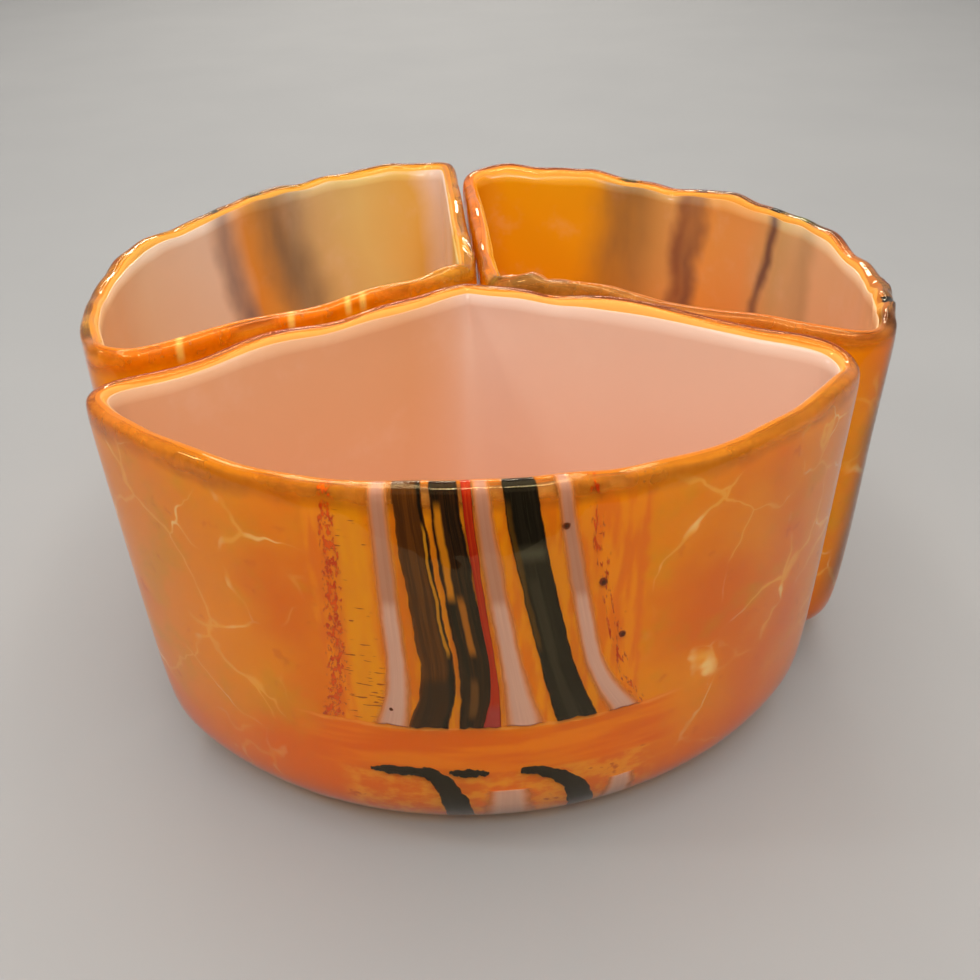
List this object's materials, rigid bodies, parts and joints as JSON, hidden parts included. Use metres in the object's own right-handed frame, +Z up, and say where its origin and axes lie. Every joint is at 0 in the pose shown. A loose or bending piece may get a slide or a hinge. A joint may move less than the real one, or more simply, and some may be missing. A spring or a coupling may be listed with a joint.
{
  "type": "art glass bowl",
  "caption": "Set of wedge-shaped cased art glass bowls that stand together as one round serving bowl and lift apart",
  "frame": {"origin": "centre of the set's footprint, on the table", "axes": "+Z up, -Y from the centre towards the front bowl with the cane panel, +X to the right seen from the front"},
  "size_m": [0.2286, 0.238, 0.1158],
  "materials": {
    "amber_glass": "fire-polished gloss",
    "opal_glass": "fire-polished gloss",
    "white_glass": "fire-polished gloss",
    "brown_glass": "fire-polished gloss",
    "black_glass": "fire-polished gloss",
    "red_glass": "fire-polished gloss",
    "grey_glass": "fire-polished gloss",
    "plum_glass": "fire-polished gloss",
    "green_glass": "fire-polished gloss"
  },
  "bodies": {
    "front_bowl": {"front_casing": "amber_glass", "front_lining": "opal_glass", "front_red_band": "red_glass", "front_white_cane_left": "white_glass", "front_brown_cane_left": "brown_glass", "front_brown_cane_right": "brown_glass", "front_red_thread": "red_glass", "front_white_cane_middle": "white_glass", "front_black_cane": "black_glass", "front_white_cane_right": "white_glass", "front_red_flecks": "red_glass", "front_dark_tails": "black_glass", "front_white_tails": "white_glass"},
    "rear_left_bowl": {"rear_left_casing": "amber_glass", "rear_left_lining": "opal_glass", "rear_left_grey_cane": "grey_glass", "rear_left_dark_cane": "grey_glass"},
    "rear_right_bowl": {"rear_right_casing": "amber_glass", "rear_right_lining": "opal_glass", "rear_right_smoke_cane": "grey_glass", "rear_right_plum_cane": "plum_glass", "rear_right_dark_cane": "black_glass", "rear_right_green_cane": "green_glass", "rear_right_end_cane": "black_glass"}
  },
  "joints": [
    {"name": "rear_left_lift", "type": "slide", "parent": "front_bowl", "child": "rear_left_bowl", "axis": [0, 0, 1], "range_m": [0, 0.13]},
    {"name": "rear_right_lift", "type": "slide", "parent": "front_bowl", "child": "rear_right_bowl", "axis": [0, 0, 1], "range_m": [0, 0.13]}
  ]
}
